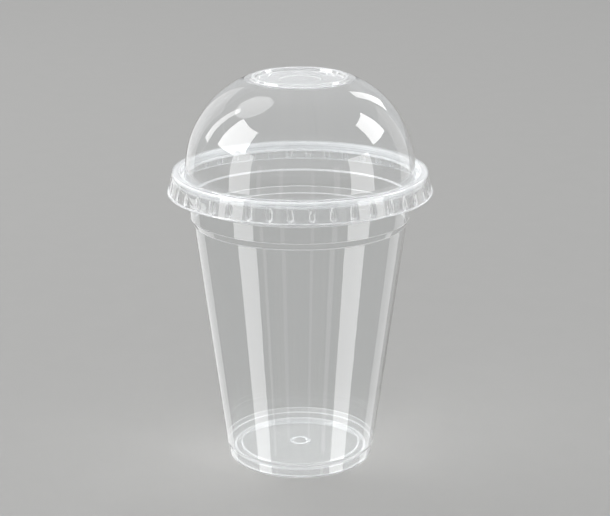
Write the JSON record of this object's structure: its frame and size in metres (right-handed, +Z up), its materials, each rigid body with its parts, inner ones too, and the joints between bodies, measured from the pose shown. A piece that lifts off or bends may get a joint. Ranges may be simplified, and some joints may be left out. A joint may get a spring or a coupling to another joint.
{
  "type": "plastic cup with lid",
  "caption": "Clear tapered drink cup with a rolled rim and a closed dome lid that sits over the rim and lifts straight off.",
  "frame": {"origin": "centre of the foot, on the surface the cup stands on", "axes": "+Z up along the common axis of cup and lid; the object is round, so +X and +Y are any two sides"},
  "size_m": [0.1028, 0.1026, 0.1538],
  "materials": {
    "clear_cup": "clear gloss",
    "clear_lid": "clear gloss"
  },
  "bodies": {
    "cup": {"cup": "clear_cup"},
    "lid": {"lid": "clear_lid"}
  },
  "joints": [
    {"name": "lid_lift", "type": "slide", "parent": "cup", "child": "lid", "axis": [0, 0, 1], "range_m": [0, 0.12]}
  ]
}
